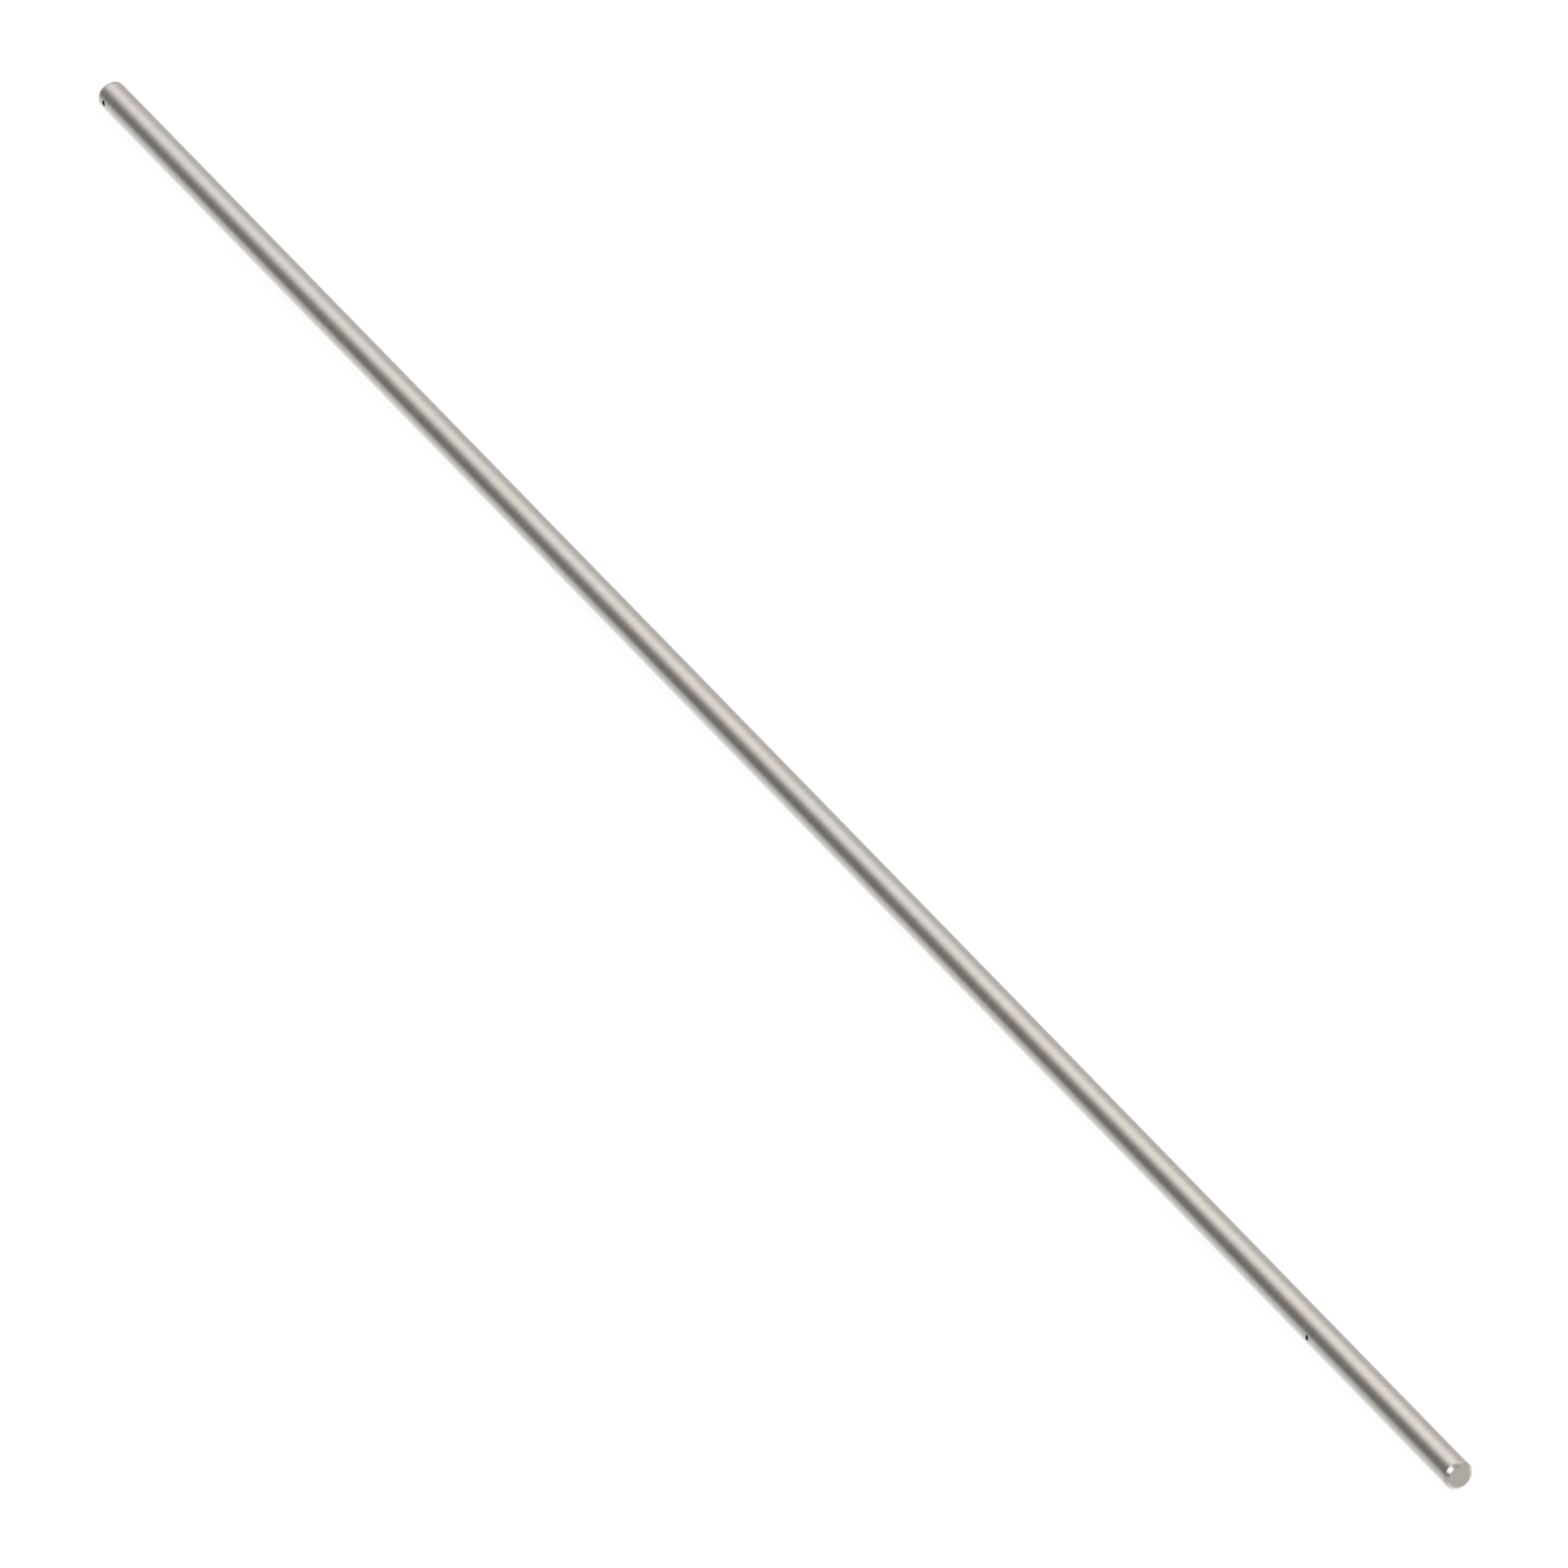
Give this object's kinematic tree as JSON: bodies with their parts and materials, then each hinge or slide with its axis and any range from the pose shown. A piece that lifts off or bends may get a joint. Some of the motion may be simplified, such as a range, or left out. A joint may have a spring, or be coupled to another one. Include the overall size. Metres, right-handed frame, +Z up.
{
  "type": "optical post",
  "caption": "Long slender round steel post with chamfered ends and cross-drilled pin holes, gripped along its length by a holder or clamps to carry bench optics.",
  "frame": {"origin": "centre of the end face beside the cross hole that lies close to an end, on the bar's axis", "axes": "+X along the bar's axis towards the other end, Y along both cross holes, +Z up"},
  "size_m": [1.25, 0.0126, 0.0126],
  "materials": {
    "ground_steel": "satin, centreless ground"
  },
  "bodies": {
    "root": {"post": "ground_steel"}
  },
  "joints": []
}
